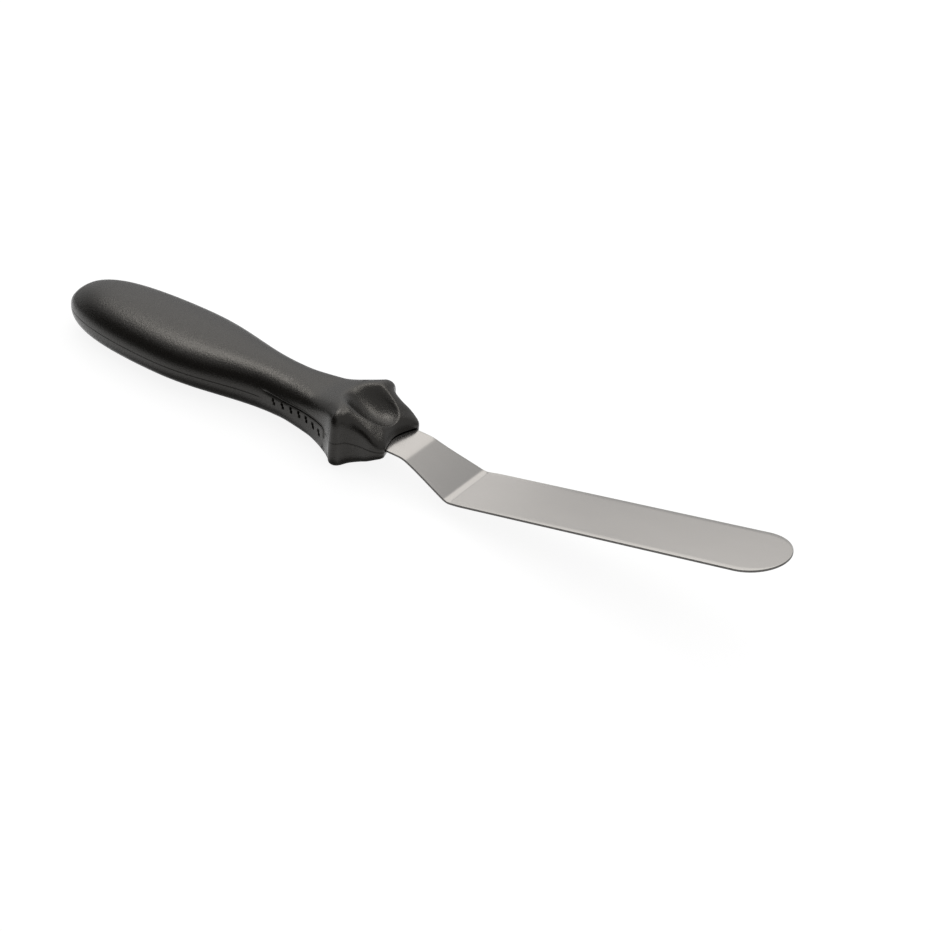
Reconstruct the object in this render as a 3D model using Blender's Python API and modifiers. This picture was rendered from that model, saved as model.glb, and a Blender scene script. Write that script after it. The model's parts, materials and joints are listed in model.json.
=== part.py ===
"""Offset spatula: a small angled palette knife for cake work.

Two pieces: a stainless blade stamped and bent from one strip, with its tang, and a plastic handle
moulded on the tang. The handle has a thick flared guard with a thumb dimple and a thin front lip.
The spatula lies on a table, on the guard and the belly of the handle, with the blade just clear of it.
+X runs to the blade tip, +Z is up, and the XZ plane is the plane of symmetry.
"""
import math

import bmesh
import bpy
import numpy as np
from mathutils import Matrix

MM = 0.001

# ---- handle, in millimetres from the middle of the guard's front edge, on the blade's plane
BUTT_X = -110.2
BUTT_ROUND = 21.2           # how squarely the butt is rounded in plan
BUTT_SHOULDER = 19.6        # and how far back the belly's width is kept
BELLY_X = -71.7
BELLY_HALF_W = 13.7
NECK_X = -36.3
NECK_HALF_W = 8.15
WING_X = -11.45             # the guard's side wings
WING_HALF_W = 13.5
WING_FLARE = 1.09           # slope of the plan outline where it reaches a wing
SCALLOP_X = -7.4            # hollow between a wing and the front corner
SCALLOP_HALF_W = 10.3
CORNER_X = -0.3             # front corners
CORNER_HALF_W = 9.45
FACE_DIP = 0.95             # the front face is hollow by this much
BELLY_HALF_H = 7.4
NECK_HALF_H = 6.4
WING_HALF_H = 8.6
LIP_HALF_H = 3.2            # half height of the front lip
CREST_SOFT = 1.5            # how gently the crest turns into the slope down to the lip
BELLY_SIDE_X = -81.0        # where the side view is at its fullest
NECK_SIDE_X = -23.8         # and at its slimmest
WING_SIDE_X = -12.3         # and at the guard's crest
BUTT_LENGTH = 43.8          # length over which the butt closes in side view
BUTT_SQUARE = 6.2           # how blunt the butt is in side view
FULLNESS_BODY = 2.42        # exponent of the section: 2 is an ellipse, more is squarer
FULLNESS_GUARD = 5.3
FULLNESS_FROM_X = -34.3     # the section squares up between these
FULLNESS_TO_X = -12.5
FULLNESS_LIP = 4.0          # and softens again towards the lip
FULLNESS_LIP_FROM_X = -4.0
FAN_BACK = 3.8              # ribs of the butt fan out from this far inside its end
FAN_FRONT = -6.0            # and those of the front lip from here

# ---- thumb dimple, one above and one below
DIMPLE_X = -7.3
DIMPLE_Z = 7.5
DIMPLE_SIZE = (10.3, 6.65, 3.7)     # half axes of the ellipsoid that hollows it
DIMPLE_TILT = math.radians(13.7)

# ---- grip slots in both sides of the neck
SLOT_COUNT = 7
SLOT_FIRST_X = -34.4
SLOT_PITCH = 3.05
SLOT_CROWDING = 0.06        # the row closes up towards the guard
SLOT_WIDTH = 0.45
SLOT_HEIGHT = 1.8
SLOT_DEPTH = 0.5
SLOT_Z = 0.35
SLOT_DROOP_FROM_X = -27.0   # from here on the row bends down
SLOT_DROOP = 0.022

# ---- blade, from the guard's front edge on
STEEL = 0.6
CLEAR = 0.3                 # room left between steel and plastic
CRANK_TOP = (5.9, 0.0)      # upper bend, in x and z
HEEL = (21.6, -5.05)        # lower bend
BLADE_RISE = math.radians(12.9)
BLADE_LENGTH = 89.5         # from the heel bend to the tip
CRANK_R = 9.5                # bend at the top of the crank
HEEL_R = 4.5                 # bend at the blade's heel
BEND_STEPS = 6
SHANK_HALF_W = 6.7
BLADE_HALF_W = 9.55
FLARE_START_X = 4.0
FLARE_END_X = 27.0
TANG_END_X = -62.0
TANG_END_HALF_W = 4.4
TANG_TAPER_X = -14.0
KEY_HOLES_X = (-28.0, -50.0)    # holes in the tang, which the plastic fills
KEY_HOLE_R = 2.2
POCKET_MOUTH_X = 6.0        # the room for the tang is cut from beyond the front face
BLANK_HALF_W = 15.0         # the strip before it is trimmed to its outline
TRIM_LOW_Z = -30.0          # the trimming die reaches from here
TRIM_HIGH_Z = 40.0          # to here
TIP_TRIM = 0.1              # and takes this much off the tip
DRILL_LENGTH = 12.0

SECTION_STEPS = 9           # steps of a quarter section
HOLE_SIDES = 24


def bezier(start, out, back, end, steps):
    """Points of one cubic curve, without its last point."""
    t = np.arange(steps)[:, None] / steps
    p = [np.array(q, float) for q in (start, out, back, end)]
    return (1 - t) ** 3 * p[0] + 3 * (1 - t) ** 2 * t * p[1] + 3 * (1 - t) * t * t * p[2] + t ** 3 * p[3]


def arc(centre, radius_x, radius_y, start, end, steps):
    """Points of an elliptic arc, both ends included; angles in degrees."""
    a = np.radians(np.linspace(start, end, steps + 1))
    return np.stack([centre[0] + radius_x * np.cos(a), centre[1] + radius_y * np.sin(a)], 1)


def ease(x, x0, x1, y0, y1):
    """Smooth step from y0 at x0 to y1 at x1."""
    t = np.clip((x - x0) / (x1 - x0), 0, 1)
    return y0 + (y1 - y0) * t * t * (3 - 2 * t)


def handle_plan():
    """Half outline of the handle from above, from the butt to the middle of the front face."""
    belly = (BELLY_X, BELLY_HALF_W)
    neck = (NECK_X, NECK_HALF_W)
    wing_in = (WING_X - 1.2, WING_HALF_W - 0.45)
    wing_out = (WING_X + 1.4, WING_HALF_W - 1.2)
    hollow = (SCALLOP_X + 0.6, SCALLOP_HALF_W - 0.25)
    corner_in = (CORNER_X - 1.4, CORNER_HALF_W)
    corner_out = (CORNER_X + 1.2, CORNER_HALF_W - 2.2)
    face = (-FACE_DIP, 0.0)
    flare = (WING_X - 4.5, WING_HALF_W - 4.5 * WING_FLARE)
    return np.concatenate([
        bezier((BUTT_X, 0), (BUTT_X, BUTT_ROUND / 2), (BELLY_X - BUTT_SHOULDER, BELLY_HALF_W), belly, 16),
        bezier(belly, (BELLY_X + 15, BELLY_HALF_W), (NECK_X - 12, NECK_HALF_W), neck, 8),
        bezier(neck, (NECK_X + 9.8, NECK_HALF_W), flare, wing_in, 10),
        bezier(wing_in, (WING_X - 0.2, WING_HALF_W + 0.1), (WING_X + 0.9, WING_HALF_W - 0.1), wing_out, 5),
        bezier(wing_out, (WING_X + 2.2, SCALLOP_HALF_W + 0.6), (SCALLOP_X - 1, SCALLOP_HALF_W + 0.1),
               hollow, 5),
        bezier(hollow, (SCALLOP_X + 2.5, SCALLOP_HALF_W - 0.8), (CORNER_X - 3.5, CORNER_HALF_W + 0.35),
               corner_in, 4),
        bezier(corner_in, (CORNER_X, CORNER_HALF_W - 0.3), (CORNER_X + 1.3, CORNER_HALF_W - 0.9),
               corner_out, 5),
        bezier(corner_out, (CORNER_X + 0.7, CORNER_HALF_W - 4), (-FACE_DIP, 2.5), face, 4),
        np.array([face]),
    ])


def half_height(x):
    """Half thickness of the handle along its middle, in side view."""
    body = ease(x, BELLY_SIDE_X, NECK_SIDE_X, BELLY_HALF_H, NECK_HALF_H)
    body = np.where(x > NECK_SIDE_X, ease(x, NECK_SIDE_X, WING_SIDE_X, NECK_HALF_H, WING_HALF_H), body)
    past_crest = np.clip(x - WING_SIDE_X, 0, None)
    fall = np.hypot(past_crest, CREST_SOFT) - CREST_SOFT
    body -= (WING_HALF_H - LIP_HALF_H) * fall / (math.hypot(WING_SIDE_X, CREST_SOFT) - CREST_SOFT)
    butt = np.clip((x - BUTT_X) / BUTT_LENGTH, 0, 1)
    return body * np.sqrt(1 - (1 - butt) ** BUTT_SQUARE)


def fullness(x):
    """Exponent of the section at x."""
    body = ease(x, FULLNESS_FROM_X, FULLNESS_TO_X, FULLNESS_BODY, FULLNESS_GUARD)
    return body - ease(x, FULLNESS_LIP_FROM_X, CORNER_X, 0, FULLNESS_GUARD - FULLNESS_LIP)


def handle_mesh():
    """The handle's skin: ribs from the plan outline over the middle line, above and below."""
    side = handle_plan()
    plan = np.concatenate([side, side[-2:0:-1] * (1, -1)])
    angles = np.radians(np.linspace(-90, 90, 2 * SECTION_STEPS + 1)).clip(-math.pi / 2, math.pi / 2)
    middle_x = np.clip(plan[:, 0], BUTT_X + FAN_BACK, FAN_FRONT)
    bm = bmesh.new()
    ribs = []
    for (x, y), mid in zip(plan, middle_x):
        power = fullness(x)
        reach = (np.cos(angles) ** power + np.abs(np.sin(angles)) ** power) ** (-1 / power)
        out = np.cos(angles) * reach
        out[[0, -1]] = 0
        px = mid + (x - mid) * out
        pz = half_height(px) * np.sin(angles) * reach
        ribs.append([bm.verts.new((a * MM, y * b * MM, c * MM)) for a, b, c in zip(px, out, pz)])
    for rib, following in zip(ribs, ribs[1:] + ribs[:1]):
        for k in range(len(angles) - 1):
            bm.faces.new((rib[k], following[k], following[k + 1], rib[k + 1]))
    bmesh.ops.remove_doubles(bm, verts=bm.verts, dist=1e-3 * MM)
    return finish_mesh(bm, "handle")


def blade_half_width(x):
    """Half width of the strip from above, tang and round tip apart."""
    return ease(x, FLARE_START_X, FLARE_END_X, SHANK_HALF_W, BLADE_HALF_W)


def strip_plan(x0, end_half_w, margin, tip_x):
    """Outline of the strip from above, from the tang's end to tip_x, grown by margin."""
    nose = BLADE_HALF_W * math.cos(BLADE_RISE)
    stations = np.linspace(FLARE_START_X, FLARE_END_X, 13)
    half = [arc((x0 + end_half_w, 0), end_half_w + margin, end_half_w + margin, 180, 90, 6),
            np.array([(TANG_TAPER_X, SHANK_HALF_W + margin)])]
    if tip_x > FLARE_END_X:
        half.append(np.stack([stations, blade_half_width(stations)], 1))
        half.append(arc((tip_x - nose, 0), nose, BLADE_HALF_W, 90, 0, 16))
    else:
        half.append(np.array([(tip_x, SHANK_HALF_W + margin), (tip_x, 0)]))
    half = np.concatenate(half)
    return np.concatenate([half, half[-2:0:-1] * (1, -1)])


def prism(name, outline, low, high):
    """A closed block over an outline, between two heights."""
    bm = bmesh.new()
    base = [bm.verts.new((x * MM, y * MM, low * MM)) for x, y in outline]
    face = bm.faces.new(base)
    top = bmesh.ops.extrude_face_region(bm, geom=[face])["geom"]
    moved = [v for v in top if isinstance(v, bmesh.types.BMVert)]
    bmesh.ops.translate(bm, verts=moved, vec=(0, 0, (high - low) * MM))
    return finish_mesh(bm, name)


def bend(before, corner, after, radius, steps):
    """Points of the arc that rounds a corner of a line."""
    p, c, q = (np.array(v, float) for v in (before, corner, after))
    u = (p - c) / np.linalg.norm(p - c)
    v = (q - c) / np.linalg.norm(q - c)
    half = math.acos(float(u @ v)) / 2
    reach = radius / math.tan(half)
    centre = c + (u + v) / np.linalg.norm(u + v) * radius / math.sin(half)
    first = c + u * reach - centre
    last = c + v * reach - centre
    turn = math.atan2(first[0] * last[1] - first[1] * last[0], float(first @ last))
    points = []
    for k in range(steps + 1):
        a = turn * k / steps
        points.append(centre + (first[0] * math.cos(a) - first[1] * math.sin(a),
                                first[0] * math.sin(a) + first[1] * math.cos(a)))
    return points


def blade_profile():
    """Side view of the strip's middle, in x and z, from the tang's end to the tip."""
    start = (TANG_END_X, 0.0)
    tip = (HEEL[0] + BLADE_LENGTH * math.cos(BLADE_RISE), HEEL[1] + BLADE_LENGTH * math.sin(BLADE_RISE))
    upper = bend(start, CRANK_TOP, HEEL, CRANK_R, BEND_STEPS)
    lower = bend(CRANK_TOP, HEEL, tip, HEEL_R, BEND_STEPS)
    return np.array([start, *upper, *lower, tip])


def rest_pitch():
    """Nose-down angle at which the guard and the belly touch the same table, and the table's height."""
    belly_x = np.linspace(BUTT_X, NECK_X, 400)
    guard_x = np.linspace(NECK_X, 0, 400)
    low, high = math.radians(-10), math.radians(10)
    for _ in range(40):
        pitch = (low + high) / 2
        belly = np.min(-belly_x * math.sin(pitch) - half_height(belly_x) * math.cos(pitch))
        guard = np.min(-guard_x * math.sin(pitch) - half_height(guard_x) * math.cos(pitch))
        low, high = (pitch, high) if guard > belly else (low, pitch)
    return pitch, belly


def finish_mesh(bm, name):
    """Turn a bmesh into an object of the scene, with its faces outward."""
    bmesh.ops.recalc_face_normals(bm, faces=bm.faces)
    mesh = bpy.data.meshes.new(name)
    bm.to_mesh(mesh)
    bm.free()
    return bpy.data.objects.new(name, mesh)


def material(name, colour, roughness, metallic):
    """One Principled material."""
    mat = bpy.data.materials.new(name)
    mat.use_nodes = True
    shader = mat.node_tree.nodes["Principled BSDF"]
    shader.inputs["Base Color"].default_value = (*colour, 1)
    shader.inputs["Roughness"].default_value = roughness
    shader.inputs["Metallic"].default_value = metallic
    return mat


def cut(body, cutter, operation="DIFFERENCE"):
    """Boolean of a body with a cutter."""
    mod = body.modifiers.new(cutter.name, "BOOLEAN")
    mod.operation = operation
    mod.solver = "EXACT"
    mod.object = cutter
    cutters.objects.link(cutter)
    cutter.hide_render = True
    cutter.display_type = "WIRE"


def cylinder(name, x, radius):
    """An upright round cutter, longer than any wall it meets."""
    bm = bmesh.new()
    place = Matrix.Translation((x * MM, 0, 0))
    r = radius * MM
    bmesh.ops.create_cone(bm, cap_ends=True, segments=HOLE_SIDES, radius1=r, radius2=r,
                          depth=DRILL_LENGTH * MM, matrix=place)
    return finish_mesh(bm, name)


def dimple(name, side):
    """The thumb dimple's cutter, above (side 1) or below (side -1)."""
    bm = bmesh.new()
    bmesh.ops.create_uvsphere(bm, u_segments=32, v_segments=16, radius=1)
    bmesh.ops.scale(bm, verts=bm.verts, vec=[s * MM for s in DIMPLE_SIZE])
    body = finish_mesh(bm, name)
    place = Matrix.Translation((DIMPLE_X * MM, 0, side * DIMPLE_Z * MM))
    body.data.transform(place @ Matrix.Rotation(side * DIMPLE_TILT, 4, "Y"))
    return body


def grip_slots():
    """One cutter with the small upright slots of both sides of the neck."""
    side = handle_plan()
    neck = side[(side[:, 0] > NECK_X - 1) & (side[:, 0] < WING_X)]
    bm = bmesh.new()
    for k in range(SLOT_COUNT):
        x = SLOT_FIRST_X + SLOT_PITCH * k - SLOT_CROWDING * k * k
        z = SLOT_Z - SLOT_DROOP * max(x - SLOT_DROOP_FROM_X, 0) ** 2
        y = np.interp(x, neck[:, 0], neck[:, 1])
        slope = math.atan(np.interp(x + 1, neck[:, 0], neck[:, 1]) - y)
        for flip in (1, -1):
            size = Matrix.Diagonal((SLOT_WIDTH * MM, 2 * SLOT_DEPTH * MM, SLOT_HEIGHT * MM, 1))
            place = Matrix.Translation((x * MM, flip * y * MM, z * MM))
            bmesh.ops.create_cube(bm, size=1, matrix=place @ Matrix.Rotation(flip * slope, 4, "Z") @ size)
    return finish_mesh(bm, "grip_slots")


for item in list(bpy.data.objects):
    bpy.data.objects.remove(item)

spatula = bpy.data.collections.new("offset_spatula")
cutters = bpy.data.collections.new("cutters")
for group in (spatula, cutters):
    bpy.context.scene.collection.children.link(group)

profile = blade_profile()
tip_x, tip_z = profile[-1]
pitch, floor = rest_pitch()

# handle
handle = handle_mesh()
handle.data.materials.append(material("handle_plastic", (0.055, 0.052, 0.049), 0.55, 0.0))
spatula.objects.link(handle)
pocket_half = STEEL / 2 + CLEAR
room = strip_plan(TANG_END_X, TANG_END_HALF_W, CLEAR, POCKET_MOUTH_X)
pocket = prism("tang_pocket", room, -pocket_half, pocket_half)
for n, x in enumerate(KEY_HOLES_X):
    cut(pocket, cylinder(f"post_{n + 1}", x, KEY_HOLE_R))
cut(handle, pocket)
cut(handle, dimple("dimple_above", 1))
cut(handle, dimple("dimple_below", -1))
cut(handle, grip_slots())

# blade
bm = bmesh.new()
rows = [[bm.verts.new((x * MM, y * MM, z * MM)) for x, z in profile] for y in (-BLANK_HALF_W, BLANK_HALF_W)]
for k in range(len(profile) - 1):
    bm.faces.new((rows[0][k], rows[0][k + 1], rows[1][k + 1], rows[1][k]))
blade = finish_mesh(bm, "blade")
blade.data.materials.append(material("blade_steel", (0.62, 0.61, 0.59), 0.28, 1.0))
spatula.objects.link(blade)
gauge = blade.modifiers.new("gauge", "SOLIDIFY")
gauge.thickness = STEEL * MM
gauge.offset = 0
gauge.use_even_offset = True
outline = strip_plan(TANG_END_X, TANG_END_HALF_W, 0, tip_x - TIP_TRIM)
cut(blade, prism("blade_plan", outline, TRIM_LOW_Z, TRIM_HIGH_Z), "INTERSECT")
for n, x in enumerate(KEY_HOLES_X):
    cut(blade, cylinder(f"tang_hole_{n + 1}", x, KEY_HOLE_R + CLEAR))

# lay the spatula down, centred over the origin
x_low = BUTT_X * math.cos(pitch)
x_high = tip_x * math.cos(pitch) + tip_z * math.sin(pitch)
for item in bpy.data.objects:
    item.rotation_euler = (0, pitch, 0)
    item.location = (-(x_low + x_high) / 2 * MM, 0, -floor * MM)
handle.data.shade_smooth()
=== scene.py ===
"""Looks for the offset spatula: the moulded handle and the polished strip are built here in fine detail,
in the place of the two plain CAD bodies, then lit on a white table."""
import json
import math

import bmesh
import bpy
import numpy as np
from mathutils import Matrix, Vector


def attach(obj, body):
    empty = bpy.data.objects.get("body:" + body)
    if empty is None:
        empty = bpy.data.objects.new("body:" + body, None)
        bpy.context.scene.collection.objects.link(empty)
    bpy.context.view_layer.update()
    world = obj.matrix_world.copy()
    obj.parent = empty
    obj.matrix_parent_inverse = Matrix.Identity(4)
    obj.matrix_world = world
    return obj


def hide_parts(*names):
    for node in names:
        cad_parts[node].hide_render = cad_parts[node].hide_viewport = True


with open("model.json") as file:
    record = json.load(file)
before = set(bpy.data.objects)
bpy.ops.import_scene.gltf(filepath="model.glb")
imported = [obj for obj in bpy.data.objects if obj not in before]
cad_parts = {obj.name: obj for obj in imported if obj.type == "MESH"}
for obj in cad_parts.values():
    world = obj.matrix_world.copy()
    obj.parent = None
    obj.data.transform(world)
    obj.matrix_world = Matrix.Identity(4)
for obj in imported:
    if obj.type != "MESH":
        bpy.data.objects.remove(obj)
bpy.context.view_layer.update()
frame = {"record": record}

MM = 0.001
WORLD = 0.70                # brightness of the room
FLOOR_TONE = 0.15           # of the room straight below
# sine of the height above the horizon, then the room's tone there
ROOM_TONES = ((-0.8, 0.2), (-0.6, 1.7), (-0.35, 1.6), (-0.2, 0.7), (-0.05, 0.25), (0.0, 1.0))
TABLE_HALF = 30.0           # metres, so that no view sees its edge
LAMP_COLOUR = (1, 0.975, 0.935)
NOISE_RANGE = (0.3, 0.7)    # where most of a noise texture's values lie

# ---- the part's own dimensions, in millimetres from the middle of the guard's front edge
BUTT_X, BUTT_ROUND, BUTT_SHOULDER = -110.2, 21.2, 19.6
BELLY_X, BELLY_HALF_W = -71.7, 13.7
NECK_X, NECK_HALF_W = -36.3, 8.15
WING_X, WING_HALF_W, WING_FLARE = -11.45, 13.5, 1.09
SCALLOP_X, SCALLOP_HALF_W = -7.4, 10.3
CORNER_X, CORNER_HALF_W = -0.3, 9.45
FACE_DIP = 0.95
BELLY_HALF_H, NECK_HALF_H, WING_HALF_H, LIP_HALF_H = 7.4, 6.4, 8.6, 3.2
CREST_SOFT = 1.5
BELLY_SIDE_X, NECK_SIDE_X, WING_SIDE_X = -81.0, -23.8, -12.3
BUTT_LENGTH, BUTT_SQUARE = 43.8, 6.2
FULLNESS_BODY, FULLNESS_GUARD, FULLNESS_LIP = 2.42, 5.3, 4.0
FULLNESS_FROM_X, FULLNESS_TO_X, FULLNESS_LIP_FROM_X = -34.3, -12.5, -4.0
FAN_BACK, FAN_FRONT = 3.8, -6.0

SLOT_COUNT, SLOT_FIRST_X, SLOT_PITCH, SLOT_CROWDING = 7, -34.4, 3.05, 0.06
SLOT_Z, SLOT_DROOP_FROM_X, SLOT_DROOP = 0.35, -27.0, 0.022

STEEL, CLEAR = 0.6, 0.3
CRANK_TOP, HEEL = (5.9, 0.0), (21.6, -5.05)
BLADE_RISE, BLADE_LENGTH = math.radians(12.9), 89.5
CRANK_R, HEEL_R = 9.5, 4.5
SHANK_HALF_W, BLADE_HALF_W = 6.7, 9.55
FLARE_START_X, FLARE_END_X = 4.0, 27.0
TANG_END_X, TANG_END_HALF_W, TANG_TAPER_X = -62.0, 4.4, -14.0
MOUNT_ALONG = 45.0          # the record's mount lies this far along the blade from the heel

# ---- fine detail that the CAD leaves out
TICK_HALF_W = 0.34
TICK_HALF_H = 0.86
TICK_DEPTH = 0.62
TICK_JOG = 0.17             # the upper half of each slot stands back by this much
SEAM_DEPTH = 0.07           # parting line of the mould
SEAM_HALF_W = 0.09
PANEL_STEP = 0.10           # the grip panel sinks to this much under its groove
GROOVE_DEPTH, GROOVE_HALF_W = 0.24, 0.15
BEAD_HEIGHT, BEAD_OFF = 0.07, 0.36      # the raised lip along the groove
HOOK_X, HOOK_Z, HOOK_R = -17.6, -0.35, 1.6
BOWL_X, BOWL_Z, BOWL_SLOPE = -8.6, 3.6, -0.33
BOWL_REAR, BOWL_FRONT, BOWL_SIDE = 5.5, 4.55, 3.32
RIM_SOFT_FRONT, RIM_SOFT_BACK = 0.35, 1.7
EDGE_R = 0.14               # rounding of the strip's cut edges
NOSE_BACK = 0.1             # the round end stops this short of the profile's end
CUT_FROM = 3                # rows of the upper rounding that stay polished
GROOVE_LINE = ((-42, -36.4, -31.4, -24.2, -19.9, HOOK_X), (2.6, 2.1, 1.75, 1.75, 1.45, HOOK_Z + HOOK_R))
GRIP_FROM_X, GRIP_TO_X = (-39.5, -35), (-16.5, -15.5)      # where the grip panel fades in and ends
SEAM_STOP_X = (-41, -37)    # the parting line stops behind the grip panel
PLUG_X = 6                  # the cutter for the tang's room reaches this far past the guard

# ---- how fine the meshes are
OUTLINE_STEPS = ((-112, -108, -100, -60, -42, -37, -15, -13, 2),        # along the handle, then spacing
                 (0.25, 0.4, 0.75, 0.9, 0.5, 0.135, 0.135, 0.2, 0.2))
SECTION_SAMPLES, SECTION_ROWS = 801, 115
BLADE_LANES = 14
SHARP_ANGLE = math.radians(50)


def ease(x, x0, x1, y0=0.0, y1=1.0):
    t = np.clip((x - x0) / (x1 - x0), 0, 1)
    return y0 + (y1 - y0) * t * t * (3 - 2 * t)


def bezier(start, out, back, end, steps=200):
    t = np.arange(steps)[:, None] / steps
    p = [np.array(q, float) for q in (start, out, back, end)]
    return (1 - t) ** 3 * p[0] + 3 * (1 - t) ** 2 * t * p[1] + 3 * (1 - t) * t * t * p[2] + t ** 3 * p[3]


def handle_plan():
    """Half outline of the handle from above, as a dense line."""
    belly = (BELLY_X, BELLY_HALF_W)
    neck = (NECK_X, NECK_HALF_W)
    wing_in = (WING_X - 1.2, WING_HALF_W - 0.45)
    wing_out = (WING_X + 1.4, WING_HALF_W - 1.2)
    hollow = (SCALLOP_X + 0.6, SCALLOP_HALF_W - 0.25)
    corner_in = (CORNER_X - 1.4, CORNER_HALF_W)
    corner_out = (CORNER_X + 1.2, CORNER_HALF_W - 2.2)
    face = (-FACE_DIP, 0.0)
    flare = (WING_X - 4.5, WING_HALF_W - 4.5 * WING_FLARE)
    return np.concatenate([
        bezier((BUTT_X, 0), (BUTT_X, BUTT_ROUND / 2), (BELLY_X - BUTT_SHOULDER, BELLY_HALF_W), belly),
        bezier(belly, (BELLY_X + 15, BELLY_HALF_W), (NECK_X - 12, NECK_HALF_W), neck),
        bezier(neck, (NECK_X + 9.8, NECK_HALF_W), flare, wing_in),
        bezier(wing_in, (WING_X - 0.2, WING_HALF_W + 0.1), (WING_X + 0.9, WING_HALF_W - 0.1), wing_out),
        bezier(wing_out, (WING_X + 2.2, SCALLOP_HALF_W + 0.6), (SCALLOP_X - 1, SCALLOP_HALF_W + 0.1), hollow),
        bezier(hollow, (SCALLOP_X + 2.5, SCALLOP_HALF_W - 0.8), (CORNER_X - 3.5, CORNER_HALF_W + 0.35),
               corner_in),
        bezier(corner_in, (CORNER_X, CORNER_HALF_W - 0.3), (CORNER_X + 1.3, CORNER_HALF_W - 0.9), corner_out),
        bezier(corner_out, (CORNER_X + 0.7, CORNER_HALF_W - 4), (-FACE_DIP, 2.5), face),
        np.array([face]),
    ])


def half_height(x):
    body = ease(x, BELLY_SIDE_X, NECK_SIDE_X, BELLY_HALF_H, NECK_HALF_H)
    body = np.where(x > NECK_SIDE_X, ease(x, NECK_SIDE_X, WING_SIDE_X, NECK_HALF_H, WING_HALF_H), body)
    past_crest = np.clip(x - WING_SIDE_X, 0, None)
    fall = np.hypot(past_crest, CREST_SOFT) - CREST_SOFT
    body = body - (WING_HALF_H - LIP_HALF_H) * fall / (math.hypot(WING_SIDE_X, CREST_SOFT) - CREST_SOFT)
    butt = np.clip((x - BUTT_X) / BUTT_LENGTH, 0, 1)
    return body * np.sqrt(1 - (1 - butt) ** BUTT_SQUARE)


def fullness(x):
    body = ease(x, FULLNESS_FROM_X, FULLNESS_TO_X, FULLNESS_BODY, FULLNESS_GUARD)
    return body - ease(x, FULLNESS_LIP_FROM_X, CORNER_X, 0, FULLNESS_GUARD - FULLNESS_LIP)


def bowl(x, y):
    """Height of the thumb dimple's floor and walls."""
    reach = np.where(x > BOWL_X, BOWL_FRONT, BOWL_REAR)
    return BOWL_Z + BOWL_SLOPE * (x - BOWL_X) + ((x - BOWL_X) / reach) ** 2 + (y / BOWL_SIDE) ** 2


def skin(x, y, mid, phi):
    """Points of the plain skin: angle phi of the section whose outline point is (x, y)."""
    n = fullness(x)
    c, s = np.abs(np.cos(phi)), np.abs(np.sin(phi))
    reach = (c ** n + s ** n) ** (-1 / n)
    out = np.where(c < 1e-9, 0, c * reach)
    up = s * reach * np.sign(phi)
    px = mid + (x - mid) * out
    return px, y * out, half_height(px) * up


def dished(x, y, z):
    """Height of the skin once the dimples are pressed in, above and below."""
    up = np.abs(z)
    floor = bowl(x, y)
    soft = ease(x, -12.0, -4.0, RIM_SOFT_BACK, RIM_SOFT_FRONT)
    near = np.clip(soft - np.abs(up - floor), 0, None)
    low = np.minimum(up, floor) - near ** 2 / (4 * soft)
    return np.where(up > 1.5, np.sign(z) * low, z)


def outline_stations():
    """Outline points of the right half, closer together where there is detail."""
    line = handle_plan()
    step = np.hypot(*np.diff(line, axis=0).T)
    mid_x = (line[1:, 0] + line[:-1, 0]) / 2
    size = np.interp(mid_x, *OUTLINE_STEPS)
    total = np.concatenate([[0], np.cumsum(step / size)])
    count = int(total[-1])
    at = np.linspace(0, total[-1], count + 1)
    return np.stack([np.interp(at, total, line[:, k]) for k in (0, 1)], 1)


def slot_places():
    k = np.arange(SLOT_COUNT)
    x = SLOT_FIRST_X + SLOT_PITCH * k - SLOT_CROWDING * k * k
    return x, SLOT_Z - SLOT_DROOP * np.maximum(x - SLOT_DROOP_FROM_X, 0) ** 2


def side_relief(x, z):
    """Depth of the slots, the groove above them and the parting line on the flank, in millimetres."""
    plain = ease(x, *SEAM_STOP_X, 1, 0) + ease(x, *GRIP_TO_X)
    depth = SEAM_DEPTH * plain * np.exp(-(z / SEAM_HALF_W) ** 2)
    # the groove runs above the slots, then turns down in front of the last of them
    groove = np.interp(x, *GROOVE_LINE)
    hook = np.hypot(x - HOOK_X, z - HOOK_Z) - HOOK_R
    off = np.where(x > HOOK_X, np.where(z > HOOK_Z, hook, x - HOOK_X - HOOK_R), z - groove)
    fade = ease(x, *GRIP_FROM_X) * ease(z, HOOK_Z - 1.9, HOOK_Z - 0.5)
    depth = depth + GROOVE_DEPTH * fade * np.exp(-(off / GROOVE_HALF_W) ** 2)
    depth = depth - BEAD_HEIGHT * fade * np.exp(-((off - BEAD_OFF) / GROOVE_HALF_W) ** 2)
    depth = depth + PANEL_STEP * fade * ease(off, -0.9, 0) * ease(off, 0, 0.12, 1, 0)
    for tx, tz in zip(*slot_places()):
        jog = ease(z - tz, -0.15, 0.15, TICK_JOG, -TICK_JOG)
        across = ease(np.abs(x - tx - jog), TICK_HALF_W - 0.06, TICK_HALF_W + 0.06, 1, 0)
        along = ease(np.abs(z - tz), TICK_HALF_H - 0.1, TICK_HALF_H + 0.1, 1, 0)
        depth = depth + TICK_DEPTH * across * along
    return depth


def finish_mesh(bm, name):
    bmesh.ops.recalc_face_normals(bm, faces=bm.faces)
    mesh = bpy.data.meshes.new(name)
    bm.to_mesh(mesh)
    bm.free()
    item = bpy.data.objects.new(name, mesh)
    bpy.context.scene.collection.objects.link(item)
    return item


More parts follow.
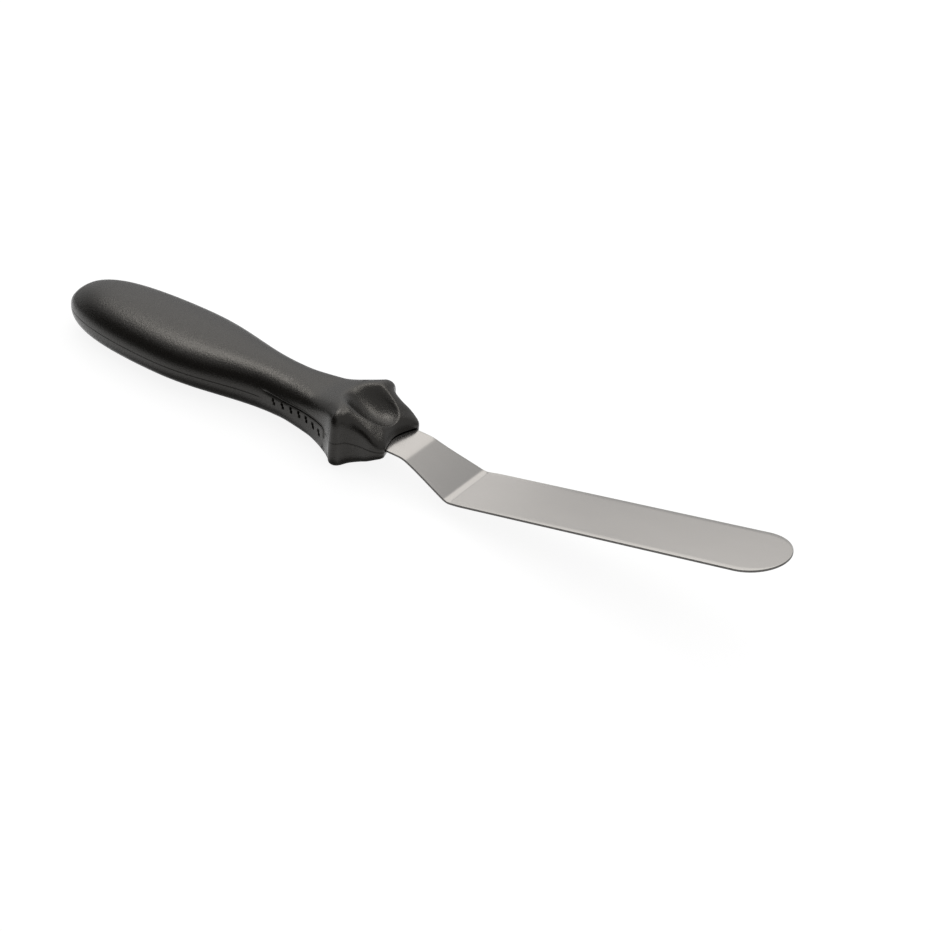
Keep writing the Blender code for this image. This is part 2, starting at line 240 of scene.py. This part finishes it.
def section_angles(x, y, mid):
    """Angles of each section's rows, which crowd where the slots, the seam and the dimples are."""
    phi = np.linspace(-math.pi / 2, math.pi / 2, SECTION_SAMPLES)[None, :]
    px, py, pz = skin(x, y, mid, phi)
    arc = np.sqrt(np.diff(px) ** 2 + np.diff(py) ** 2 + np.diff(pz) ** 2)
    cx, cy, cz = ((a[:, 1:] + a[:, :-1]) / 2 for a in (px, py, pz))
    grip = ease(x, -42, -37) * ease(x, -15, -12, 1, 0)
    grip = grip * np.exp(-((cz - 0.1) / 2.1) ** 6)
    rim = np.exp(-((np.abs(cz) - bowl(cx, cy)) / 0.9) ** 2) * ease(cx, -19, -16)
    bowl_inside = ease(np.abs(cz) - bowl(cx, cy), -0.5, 0.5) * ease(cx, -19, -16)
    seam = np.exp(-(cz / 0.35) ** 2)
    weight = arc * (1 + 9 * grip + 3.2 * rim + 1.5 * bowl_inside + 5 * seam)
    weight = np.maximum(weight, 1e-9)
    total = np.concatenate([np.zeros_like(x), np.cumsum(weight, 1)], 1)
    total /= total[:, -1:]
    levels = np.linspace(0, 1, SECTION_ROWS + 1)
    grid = np.stack([np.interp(levels, t, phi[0]) for t in total])
    grid[:, 0], grid[:, -1] = -math.pi / 2, math.pi / 2
    return grid


def handle_skin():
    """The handle's outside: the plain skin with the dimples, the slots and the fine lines sunk in it."""
    side = outline_stations()
    plan = np.concatenate([side, side[-2:0:-1] * (1, -1)])
    x, y = plan[:, :1], plan[:, 1:]
    mid = np.clip(x, BUTT_X + FAN_BACK, FAN_FRONT)
    px, py, pz = skin(x, y, mid, section_angles(x, y, mid))
    pz = dished(px, py, pz)
    at = np.stack([px, py, pz], 2)
    along = np.roll(at, -1, 0) - np.roll(at, 1, 0)
    around = np.gradient(at, axis=1)
    normal = np.cross(along, around)
    length = np.linalg.norm(normal, axis=2, keepdims=True)
    normal = normal / np.maximum(length, 1e-9)
    depth = side_relief(px, pz)[:, :, None]
    fade = np.exp(-(pz / 3.2) ** 8)[:, :, None]
    at = at + normal * depth * fade * np.where((normal[:, :, :1] * (px - mid)[:, :, None] +
                                               normal[:, :, 1:2] * py[:, :, None]) > 0, -1, 1)

    columns = len(plan)
    index = np.arange(columns * (SECTION_ROWS + 1)).reshape(columns, SECTION_ROWS + 1)
    nxt = np.roll(index, -1, 0)
    quads = np.stack([index[:, :-1], nxt[:, :-1], nxt[:, 1:], index[:, 1:]], 2).reshape(-1, 4)
    mesh = bpy.data.meshes.new("handle_skin")
    mesh.from_pydata((at.reshape(-1, 3) * MM).tolist(), [], quads.tolist())
    bm = bmesh.new()
    bm.from_mesh(mesh)
    bmesh.ops.remove_doubles(bm, verts=bm.verts, dist=2e-6)
    bmesh.ops.dissolve_degenerate(bm, edges=bm.edges, dist=1e-7)
    return finish_mesh(bm, "moulded_handle")


def tang_outline(margin, end_x):
    a = np.radians(np.linspace(180, 90, 13))
    r = TANG_END_HALF_W + margin
    half = np.concatenate([
        np.stack([TANG_END_X + TANG_END_HALF_W + r * np.cos(a), r * np.sin(a)], 1),
        [(TANG_TAPER_X, SHANK_HALF_W + margin), (end_x, SHANK_HALF_W + margin), (end_x, 0)],
    ])
    return np.concatenate([half, half[-2:0:-1] * (1, -1)])


def pocket():
    """The room for the tang, as a cutter."""
    bm = bmesh.new()
    high = STEEL / 2 + CLEAR
    base = [bm.verts.new((x * MM, y * MM, -high * MM)) for x, y in tang_outline(CLEAR, PLUG_X)]
    face = bm.faces.new(base)
    top = bmesh.ops.extrude_face_region(bm, geom=[face])["geom"]
    moved = [v for v in top if isinstance(v, bmesh.types.BMVert)]
    bmesh.ops.translate(bm, verts=moved, vec=(0, 0, 2 * high * MM))
    return finish_mesh(bm, "tang_room")


def cut_out(body, cutter):
    """Take the cutter out of the body and drop it."""
    mod = body.modifiers.new("cut", "BOOLEAN")
    mod.operation, mod.solver, mod.object = "DIFFERENCE", "EXACT", cutter
    depsgraph = bpy.context.evaluated_depsgraph_get()
    mesh = bpy.data.meshes.new_from_object(body.evaluated_get(depsgraph))
    body.modifiers.clear()
    body.data = mesh
    bpy.data.objects.remove(cutter)


def bend_points(before, corner, after, radius, steps):
    p, c, q = (np.array(v, float) for v in (before, corner, after))
    u = (p - c) / np.linalg.norm(p - c)
    v = (q - c) / np.linalg.norm(q - c)
    half = math.acos(float(u @ v)) / 2
    reach = radius / math.tan(half)
    centre = c + (u + v) / np.linalg.norm(u + v) * radius / math.sin(half)
    first, last = c + u * reach - centre, c + v * reach - centre
    turn = math.atan2(first[0] * last[1] - first[1] * last[0], float(first @ last))
    a = turn * np.arange(steps + 1) / steps
    return np.stack([centre[0] + first[0] * np.cos(a) - first[1] * np.sin(a),
                     centre[1] + first[0] * np.sin(a) + first[1] * np.cos(a)], 1)


def strip_profile():
    """The strip's bent line from the tang's end to the tip, with the slope at each of its points."""
    start = np.array((TANG_END_X, 0.0))
    tip = np.array((HEEL[0] + BLADE_LENGTH * math.cos(BLADE_RISE),
                    HEEL[1] + BLADE_LENGTH * math.sin(BLADE_RISE)))
    line = np.concatenate([[start], bend_points(start, CRANK_TOP, HEEL, CRANK_R, 40),
                           bend_points(CRANK_TOP, HEEL, tip, HEEL_R, 40), [tip]])
    step = np.diff(line, axis=0)
    slope = np.arctan2(step[:, 1], step[:, 0])
    slope = np.concatenate([[slope[0]], (slope[1:] + slope[:-1]) / 2, [slope[-1]]])
    slope[1], slope[-2] = slope[0], slope[-1]
    return line, slope


def strip_plan(tip_x):
    """Places along the strip's half outline from above, its half widths and its outward direction."""
    nose = BLADE_HALF_W * math.cos(BLADE_RISE)
    a = np.radians(np.linspace(180, 90, 25))
    r = TANG_END_HALF_W
    xs = [TANG_END_X + r + r * np.cos(a)]
    ws = [r * np.sin(a)]
    body = np.unique(np.concatenate([np.linspace(TANG_END_X + r + 2, TANG_TAPER_X, 12),
                                     np.linspace(TANG_TAPER_X, FLARE_START_X, 10),
                                     np.linspace(FLARE_START_X, FLARE_END_X, 90),
                                     np.linspace(FLARE_END_X, tip_x - nose, 40)[:-1]]))
    tang = np.interp(body, (TANG_END_X + r, TANG_TAPER_X), (r, SHANK_HALF_W))
    flare = ease(body, FLARE_START_X, FLARE_END_X, SHANK_HALF_W, BLADE_HALF_W)
    xs.append(body)
    ws.append(np.where(body < TANG_TAPER_X, tang, flare))
    a = np.radians(np.linspace(90, 0, 61))
    xs.append(tip_x - nose + nose * np.cos(a))
    ws.append(BLADE_HALF_W * np.sin(a))
    x, w = np.concatenate(xs), np.concatenate(ws)
    w[0] = w[-1] = 0
    dx, dw = np.gradient(x), np.gradient(w)
    norm = np.hypot(dx, dw)
    nx, nw = -dw / norm, dx / norm
    nx[0], nw[0], nx[-1], nw[-1] = -1, 0, 1, 0
    return x, w, nx, nw


def strip():
    """The stamped strip: flat faces, rounded cut edges, bent along its profile."""
    line, slope = strip_profile()
    x, w, nx, nw = strip_plan(line[-1, 0] - NOSE_BACK)
    high = STEEL / 2
    quarter = np.radians(np.linspace(0, 90, 6))
    ring = [(EDGE_R * (1 - math.sin(q)), high - EDGE_R * (1 - math.cos(q))) for q in quarter]
    # from the flat's edge round to the middle of the cut edge, above then below
    rings = ring + [(i, -z) for i, z in reversed(ring)]

    def place(px, py, off):
        z = np.interp(px, line[:, 0], line[:, 1])
        t = np.interp(px, line[:, 0], slope)
        return np.stack([px - off * np.sin(t), py, z + off * np.cos(t)], 1)

    verts, faces = [], []
    count = len(x)

    def add(points):
        first = sum(len(v) for v in verts)
        verts.append(points)
        return np.arange(first, first + len(points))

    edge_rows = {}
    for flip in (1, -1):
        edge_rows[flip] = [add(place(x - inset * nx, flip * np.maximum(w - inset * nw, 0), off))
                           for inset, off in rings]
    # the upper face, then the lower one, each between the two edges
    flats = []
    for row in (0, -1):
        inset, off = rings[row]
        lane = [edge_rows[-1][row]]
        for j in range(1, BLADE_LANES):
            share = 2 * j / BLADE_LANES - 1
            lane.append(add(place(x - inset * nx, share * np.maximum(w - inset * nw, 0), off)))
        flats.append(lane + [edge_rows[1][row]])
    cut_faces = []
    bands = [(lane, len(lane)) for lane in flats] + [(lane, CUT_FROM) for lane in edge_rows.values()]
    for lane, cut_from in bands:
        for j, (p, q) in enumerate(zip(lane, lane[1:])):
            for k in range(count - 1):
                faces.append((p[k], p[k + 1], q[k + 1], q[k]))
                cut_faces.append(j >= cut_from)
    mesh = bpy.data.meshes.new("strip")
    mesh.from_pydata((np.concatenate(verts) * MM).tolist(), [], [tuple(int(i) for i in f) for f in faces])
    mesh.polygons.foreach_set("material_index", np.array(cut_faces, np.int32))
    bm = bmesh.new()
    bm.from_mesh(mesh)
    bmesh.ops.remove_doubles(bm, verts=bm.verts, dist=2e-6)
    bmesh.ops.dissolve_degenerate(bm, edges=bm.edges, dist=1e-7)
    return finish_mesh(bm, "polished_blade")


# ---- materials
def nodes_of(mat):
    mat.use_nodes = True
    tree = mat.node_tree
    return tree.nodes, tree.links, tree.nodes["Principled BSDF"]


def noise(nodes, links, vector, scale, detail=3.0, rough=0.55):
    tex = nodes.new("ShaderNodeTexNoise")
    tex.inputs["Scale"].default_value = scale
    tex.inputs["Detail"].default_value = detail
    tex.inputs["Roughness"].default_value = rough
    links.new(vector, tex.inputs["Vector"])
    return tex.outputs["Fac"]


def stretched(nodes, links, scale):
    coord = nodes.new("ShaderNodeTexCoord")
    mapping = nodes.new("ShaderNodeMapping")
    mapping.inputs["Scale"].default_value = scale
    links.new(coord.outputs["Object"], mapping.inputs["Vector"])
    return mapping.outputs["Vector"]


def remap(nodes, links, value, low, high, to_low, to_high):
    node = nodes.new("ShaderNodeMapRange")
    for name, number in (("From Min", low), ("From Max", high), ("To Min", to_low), ("To Max", to_high)):
        node.inputs[name].default_value = number
    links.new(value, node.inputs["Value"])
    return node.outputs["Result"]


def ramp(nodes, links, value, dark, light):
    node = nodes.new("ShaderNodeValToRGB")
    node.color_ramp.elements[0].color = (*dark, 1)
    node.color_ramp.elements[1].color = (*light, 1)
    links.new(value, node.inputs["Fac"])
    return node.outputs["Color"]


def bump(nodes, links, height, strength, distance, normal=None):
    node = nodes.new("ShaderNodeBump")
    node.inputs["Strength"].default_value = strength
    node.inputs["Distance"].default_value = distance
    links.new(height, node.inputs["Height"])
    if normal is not None:
        links.new(normal, node.inputs["Normal"])
    return node.outputs["Normal"]


def plastic():
    """Dark polypropylene, moulded with a fine matt grain."""
    mat = bpy.data.materials.new("handle_plastic")
    nodes, links, shader = nodes_of(mat)
    even = stretched(nodes, links, (1, 1, 1))
    cloud = noise(nodes, links, even, 90, 4)
    grain = noise(nodes, links, even, 5200, 2)
    fine = noise(nodes, links, even, 2300, 3)
    links.new(ramp(nodes, links, remap(nodes, links, cloud, *NOISE_RANGE, 0, 1),
                   (0.0040, 0.0034, 0.0028), (0.0058, 0.0049, 0.0041)), shader.inputs["Base Color"])
    links.new(remap(nodes, links, fine, *NOISE_RANGE, 0.20, 0.30), shader.inputs["Roughness"])
    coarse = bump(nodes, links, fine, 0.26, 0.0002)
    links.new(bump(nodes, links, grain, 0.5, 0.00008, coarse), shader.inputs["Normal"])
    shader.inputs["Specular IOR Level"].default_value = 0.45
    shader.inputs["Specular Tint"].default_value = (1.0, 0.97, 0.925, 1)
    return mat


def steel():
    """Stainless strip, rolled and lightly polished along its length."""
    mat = bpy.data.materials.new("blade_steel")
    nodes, links, shader = nodes_of(mat)
    shader.inputs["Metallic"].default_value = 1.0
    lines = noise(nodes, links, stretched(nodes, links, (22, 5200, 5200)), 1.0, 4, 0.65)
    broad = noise(nodes, links, stretched(nodes, links, (30, 160, 160)), 1.0, 3)
    speck = noise(nodes, links, stretched(nodes, links, (1, 1, 1)), 2600, 2)
    links.new(ramp(nodes, links, remap(nodes, links, broad, *NOISE_RANGE, 0, 1),
                   (0.368, 0.356, 0.344), (0.380, 0.368, 0.356)), shader.inputs["Base Color"])
    links.new(remap(nodes, links, lines, *NOISE_RANGE, 0.15, 0.21), shader.inputs["Roughness"])
    first = bump(nodes, links, lines, 0.03, 0.00003)
    links.new(bump(nodes, links, speck, 0.010, 0.00003, first), shader.inputs["Normal"])
    return mat


def cut_steel():
    """The sheared edge of the strip, duller than its faces."""
    mat = bpy.data.materials.new("blade_cut_edge")
    nodes, links, shader = nodes_of(mat)
    shader.inputs["Metallic"].default_value = 1.0
    marks = noise(nodes, links, stretched(nodes, links, (2600, 900, 900)), 1.0, 3)
    links.new(ramp(nodes, links, remap(nodes, links, marks, *NOISE_RANGE, 0, 1),
                   (0.10, 0.096, 0.092), (0.22, 0.212, 0.205)), shader.inputs["Base Color"])
    links.new(remap(nodes, links, marks, *NOISE_RANGE, 0.35, 0.55), shader.inputs["Roughness"])
    links.new(bump(nodes, links, marks, 0.2, 0.00003), shader.inputs["Normal"])
    return mat


# ---- place in the row: the record's mount says where the blade lies and how far it leans
mount = frame["record"]["mounts"][0]
mount_up = mount.get("axis") or mount.get("normal")
rise = math.atan2(-mount_up[0], mount_up[2])
lie = Matrix.Rotation(BLADE_RISE - rise, 4, "Y")
ahead, above = math.cos(BLADE_RISE), math.sin(BLADE_RISE)
mount_point = Vector((HEEL[0] + MOUNT_ALONG * ahead - STEEL / 2 * above, 0,
                      HEEL[1] + MOUNT_ALONG * above + STEEL / 2 * ahead)) * MM
place_row = Matrix.Translation(Vector(mount["pos_m"]) - lie @ mount_point) @ lie

handle = handle_skin()
cut_out(handle, pocket())
blade = strip()
for item, mats in ((handle, [plastic()]), (blade, [steel(), cut_steel()])):
    for mat in mats:
        item.data.materials.append(mat)
    item.data.transform(place_row)
    item.data.shade_smooth()
    item.data.set_sharp_from_angle(angle=SHARP_ANGLE)
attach(handle, "root")
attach(blade, "root")
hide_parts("handle")
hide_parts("blade")

# ---- table and light
bm = bmesh.new()
bmesh.ops.create_grid(bm, x_segments=8, y_segments=8, size=TABLE_HALF)
table = finish_mesh(bm, "table")
mat = bpy.data.materials.new("table_white")
nodes, links, shader = nodes_of(mat)
paper = noise(nodes, links, stretched(nodes, links, (1, 1, 1)), 60, 3)
links.new(ramp(nodes, links, paper, (0.22, 0.22, 0.22), (0.24, 0.24, 0.24)), shader.inputs["Base Color"])
shader.inputs["Roughness"].default_value = 0.9
shader.inputs["Specular IOR Level"].default_value = 0.0
shader.inputs["Emission Color"].default_value = (1, 1, 1, 1)
shader.inputs["Emission Strength"].default_value = 0.88
table.data.materials.append(mat)
table.visible_glossy = False

scene = bpy.context.scene
world = bpy.data.worlds.new("studio")
scene.world = world
world.use_nodes = True
nodes, links = world.node_tree.nodes, world.node_tree.links
backdrop = nodes["Background"]
backdrop.inputs["Strength"].default_value = WORLD
# the room is even above the horizon; what lies below it is only seen in the gloss
room = nodes.new("ShaderNodeTexCoord")
height = nodes.new("ShaderNodeSeparateXYZ")
links.new(room.outputs["Generated"], height.inputs[0])
share = remap(nodes, links, height.outputs["Z"], -1, 1, 0, 1)
tones = ramp(nodes, links, share, (FLOOR_TONE,) * 3, (1, 1, 1))
for sine, tone in ROOM_TONES:
    tones.node.color_ramp.elements.new((sine + 1) / 2).color = (tone, tone, tone, 1)
links.new(tones, backdrop.inputs["Color"])


def flag(name, centre, size, shade):
    """A card seen only by reflections and by the light it blocks."""
    bm = bmesh.new()
    bmesh.ops.create_grid(bm, x_segments=1, y_segments=1, size=0.5)
    card = finish_mesh(bm, name)
    card.scale = (*size, 1)
    card.location = centre
    card.rotation_euler = (-Vector(centre)).to_track_quat("Z", "Y").to_euler()
    card.visible_camera = False
    mat = bpy.data.materials.new(name)
    nodes, links, shader = nodes_of(mat)
    tone = noise(nodes, links, stretched(nodes, links, (1, 1, 1)), 2, 2)
    links.new(ramp(nodes, links, tone, [0.9 * c for c in shade], shade), shader.inputs["Base Color"])
    shader.inputs["Roughness"].default_value = 1.0
    card.data.materials.append(mat)


def direction(azimuth, elevation, far):
    a, e = math.radians(azimuth), math.radians(elevation)
    return Vector((math.cos(a) * math.cos(e), math.sin(a) * math.cos(e), math.sin(e))) * far


def softbox(name, azimuth, elevation, far, half_angle, radiance, only=None):
    """A round diffuser, seen from the object at an angle, with a given brightness."""
    lamp = bpy.data.lights.new(name, "AREA")
    lamp.shape = "DISK"
    lamp.color = LAMP_COLOUR
    lamp.size = 2 * far * math.tan(math.radians(half_angle))
    lamp.energy = radiance * math.pi * math.pi * (lamp.size / 2) ** 2
    item = bpy.data.objects.new(name, lamp)
    item.location = direction(azimuth, elevation, far)
    item.rotation_euler = (-item.location).to_track_quat("-Z", "Y").to_euler()
    item.visible_camera = False
    scene.collection.objects.link(item)
    if only is not None:
        group = bpy.data.collections.new(name + "_lit")
        group.objects.link(only)
        item.light_linking.receiver_collection = group


flag("dark_side", (-0.65, -1.35, 0.75), (3.7, 1.75), (0.08, 0.08, 0.08))
# azimuth and elevation of the lamp, its distance, half its angle and its brightness
softbox("behind", 128, 44.5, 1.5, 20.5, 0.60)
softbox("behind_rim", 128, 44.5, 1.52, 24.5, 0.36)
softbox("horizon", 137, 8, 1.5, 14, 0.6, only=blade)
softbox("core", 160, 61, 1.5, 11, 6.2, only=handle)
softbox("overhead", 86, 65, 1.5, 11, 4.8, only=handle)
softbox("edge", 168, 58, 1.5, 10, 2.4, only=blade)

# ---- camera, given in the part's own frame in millimetres and degrees
CAMERA_AT = (229.58, -357.18, 271.37)
CAMERA_RIGHT = (0.8254010, 0.5561635, 0.0969293)
CAMERA_DOWN = (0.3741156, -0.4102752, -0.8316921)
CAMERA_AHEAD = (-0.4227891, 0.7227423, -0.5467110)
LENS = 76.02
camera = bpy.data.cameras.new("camera")
camera.lens, camera.sensor_width = LENS, 36.0
camera.clip_start, camera.clip_end = 0.01, 20
viewer = bpy.data.objects.new("camera", camera)
turn = Matrix((CAMERA_RIGHT, [-c for c in CAMERA_DOWN], [-c for c in CAMERA_AHEAD])).transposed()
viewer.matrix_world = place_row @ Matrix.Translation(Vector(CAMERA_AT) * MM) @ turn.to_4x4()
scene.collection.objects.link(viewer)
scene.camera = viewer
scene.view_settings.view_transform = "Standard"
